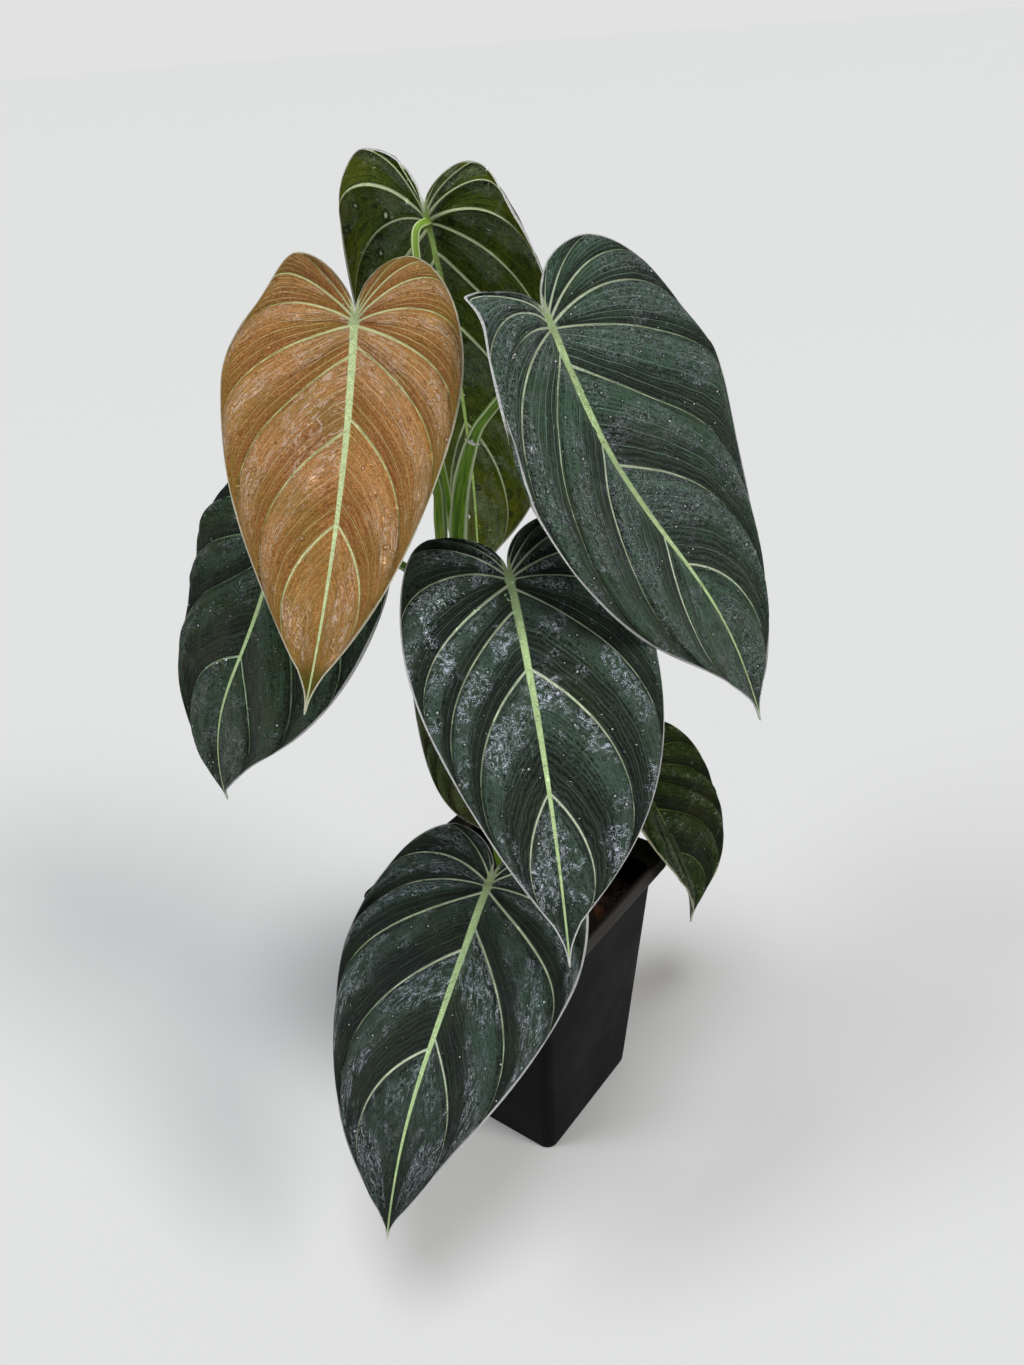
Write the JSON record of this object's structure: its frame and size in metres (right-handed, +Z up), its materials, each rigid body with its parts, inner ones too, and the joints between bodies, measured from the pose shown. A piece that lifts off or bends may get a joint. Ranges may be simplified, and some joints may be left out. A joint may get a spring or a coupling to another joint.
{
  "type": "potted black gold philodendron",
  "caption": "Young climbing aroid with pendent, quilted, heart-shaped dark leaves on long stalks, in a deep square nursery pot of bark mix.",
  "frame": {"origin": "middle of the pot's foot, on the floor", "axes": "+Z up, and the pot's walls face X and Y. The picture looks from between -X and -Y, about 30 degrees down"},
  "size_m": [0.3055, 0.2615, 0.5446],
  "materials": {
    "pot_plastic": "black, satin outside and glossy inside the collar",
    "bark_mix": "dark moist bark and coir with reddish-brown chips",
    "stem_tissue": "green climbing stem, satin",
    "petiole_tissue": "fresh green, satin, paler along its edges",
    "young_leaf": "bronze-brown young leaf, satin, with a pale green midrib",
    "velvet_leaf": "velvety dark green with fine bright specks, pale green veins and a thin pale edge",
    "leaf_underside": "olive green underside with raised pale veins"
  },
  "bodies": {
    "root": {"pot": "pot_plastic", "potting_mix": "bark_mix", "stem": "stem_tissue", "petiole_bronze": "petiole_tissue", "blade_bronze": "young_leaf", "petiole_crown": "petiole_tissue", "blade_crown": "leaf_underside", "petiole_right": "petiole_tissue", "blade_right": "velvet_leaf", "petiole_centre": "petiole_tissue", "blade_centre": "velvet_leaf", "petiole_front": "petiole_tissue", "blade_front": "velvet_leaf", "petiole_left": "petiole_tissue", "blade_left": "velvet_leaf", "petiole_rim": "petiole_tissue", "blade_rim": "velvet_leaf", "petiole_inner": "petiole_tissue", "blade_inner": "velvet_leaf"}
  },
  "joints": []
}
